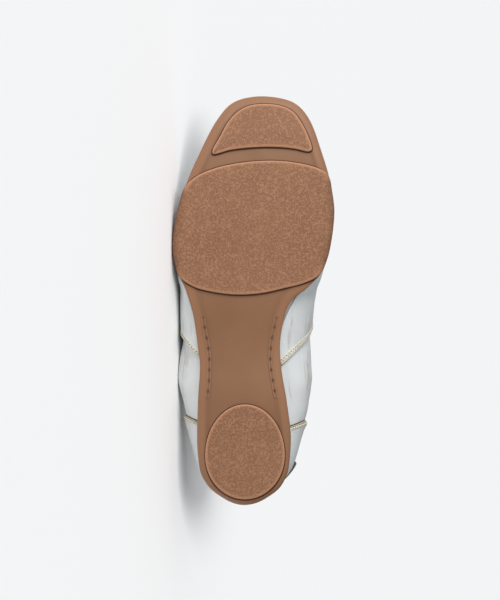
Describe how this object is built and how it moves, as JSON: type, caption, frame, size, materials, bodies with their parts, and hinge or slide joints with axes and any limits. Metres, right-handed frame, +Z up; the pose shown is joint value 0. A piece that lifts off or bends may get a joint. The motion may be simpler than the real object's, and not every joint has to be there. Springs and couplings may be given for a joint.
{
  "type": "leather sneaker",
  "caption": "Low right-foot leather sneaker with a moulded rubber outsole of raised tread pads, empty, lying on its lateral side.",
  "frame": {"origin": "centre of the bounding box's underside, on the floor that the shoe lies on", "axes": "+X from toe to heel, +Y from the outsole towards the collar, +Z up from the floor, towards the shoe's medial side"},
  "size_m": [0.2608, 0.0994, 0.1026],
  "materials": {
    "gum_rubber": "caramel gum rubber, smooth satin base, fine pebble grain on the tread pads",
    "leather": "silvery white leather with a soft sheen, brushed and rubbed with beige grey",
    "lining": "matt off-white lining cloth",
    "tab_cloth": "coarse dark grey-brown woven tab",
    "lace": "flat woven off-white cotton",
    "eyelet_metal": "satin silver eyelets"
  },
  "bodies": {
    "root": {"outsole": "gum_rubber", "insole": "lining", "upper": "leather", "vamp_panel": "leather", "heel_counter": "leather", "facing_lateral": "leather", "facing_medial": "leather", "heel_tab": "tab_cloth", "tongue": "leather", "eyelet_lateral_1": "eyelet_metal", "eyelet_lateral_2": "eyelet_metal", "eyelet_lateral_3": "eyelet_metal", "eyelet_lateral_4": "eyelet_metal", "eyelet_lateral_5": "eyelet_metal", "eyelet_lateral_6": "eyelet_metal", "eyelet_medial_1": "eyelet_metal", "eyelet_medial_2": "eyelet_metal", "eyelet_medial_3": "eyelet_metal", "eyelet_medial_4": "eyelet_metal", "eyelet_medial_5": "eyelet_metal", "eyelet_medial_6": "eyelet_metal", "lace_bar_1": "lace", "lace_bar_2": "lace", "lace_bar_3": "lace", "lace_bar_4": "lace", "lace_bar_5": "lace", "lace_bar_6": "lace"}
  },
  "joints": []
}
